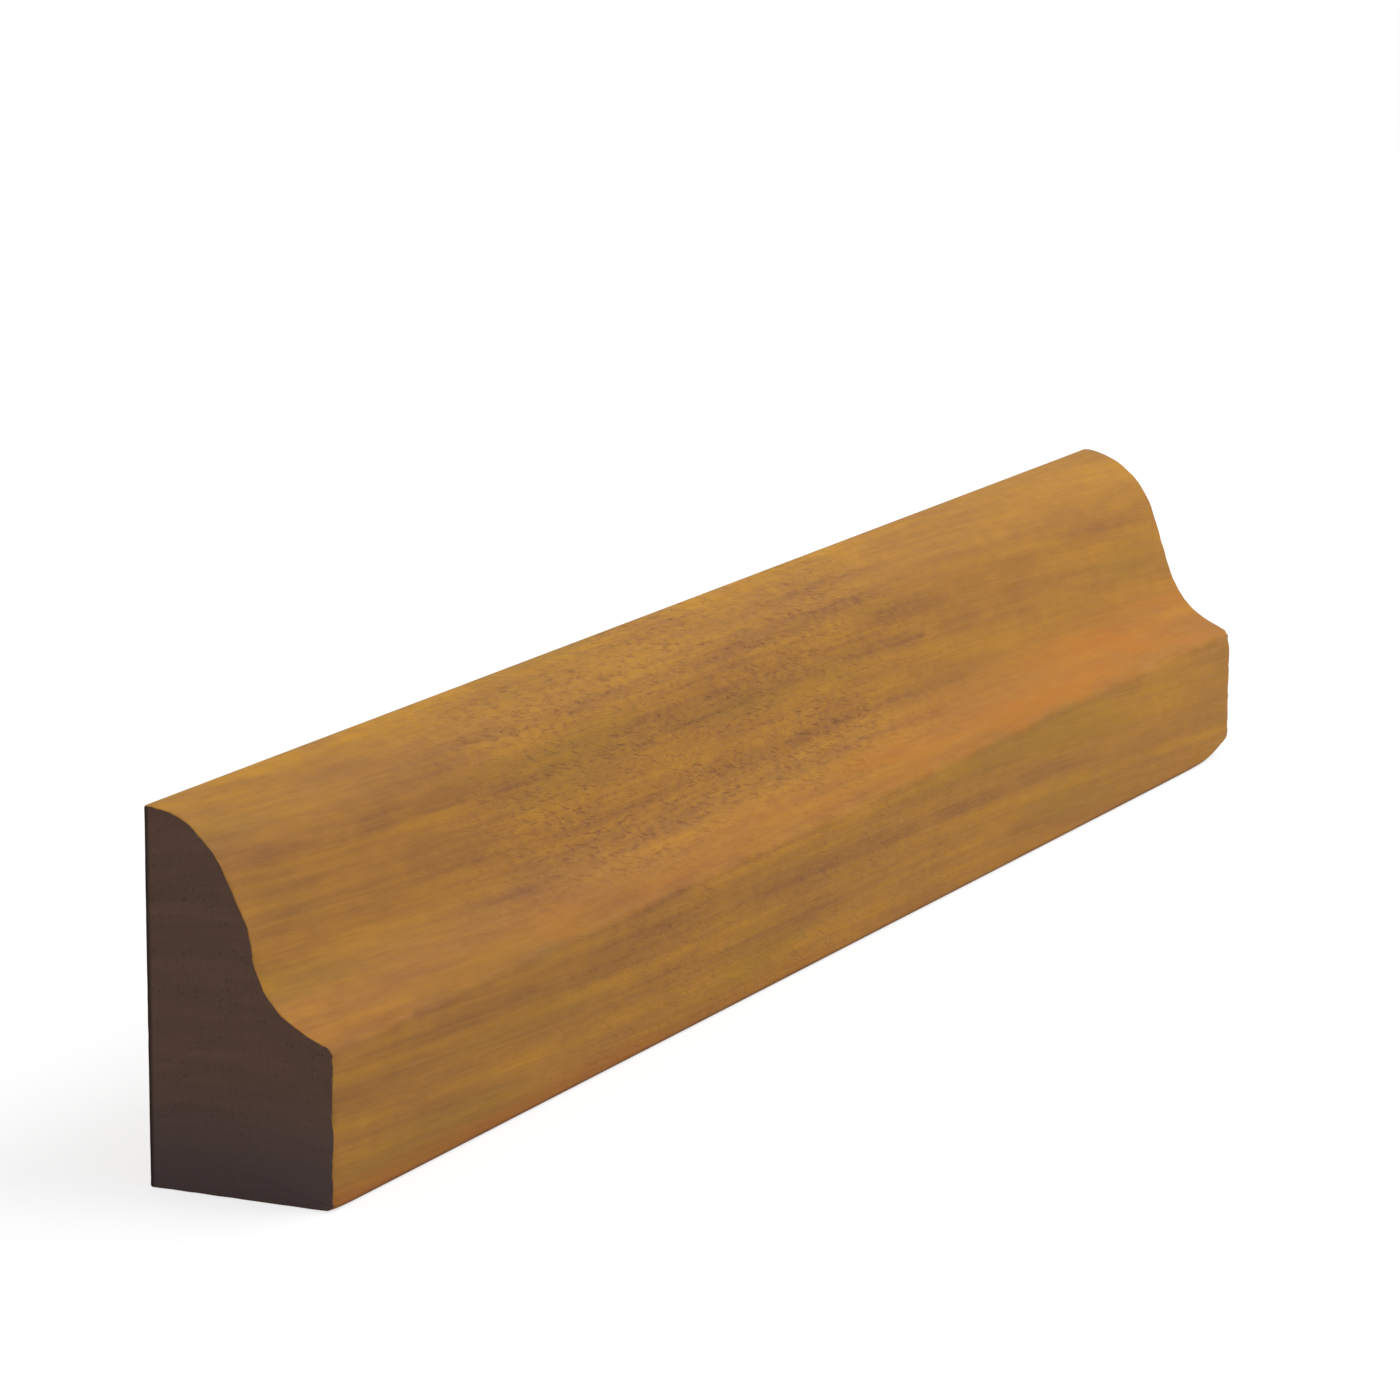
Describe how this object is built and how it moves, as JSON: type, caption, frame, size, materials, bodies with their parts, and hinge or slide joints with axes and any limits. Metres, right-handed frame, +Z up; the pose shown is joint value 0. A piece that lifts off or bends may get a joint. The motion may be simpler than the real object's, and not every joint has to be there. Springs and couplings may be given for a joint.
{
  "type": "shoe moulding",
  "caption": "Short sample of wooden shoe moulding with an ogee face over an upright foot, flat back and floor face, sawn square at both ends.",
  "frame": {"origin": "middle of the foot: halfway along the length and halfway through the thickness, on the floor face", "axes": "+X along the length, from the end nearest the viewer in the picture to the far end; +Y out of the flat wall face, so the moulded face looks toward -Y; +Z up, square to the floor face"},
  "size_m": [0.127, 0.011, 0.0206],
  "materials": {
    "stained_wood": "satin, medium brown stain"
  },
  "bodies": {
    "root": {"shoe_moulding": "stained_wood"}
  },
  "joints": []
}
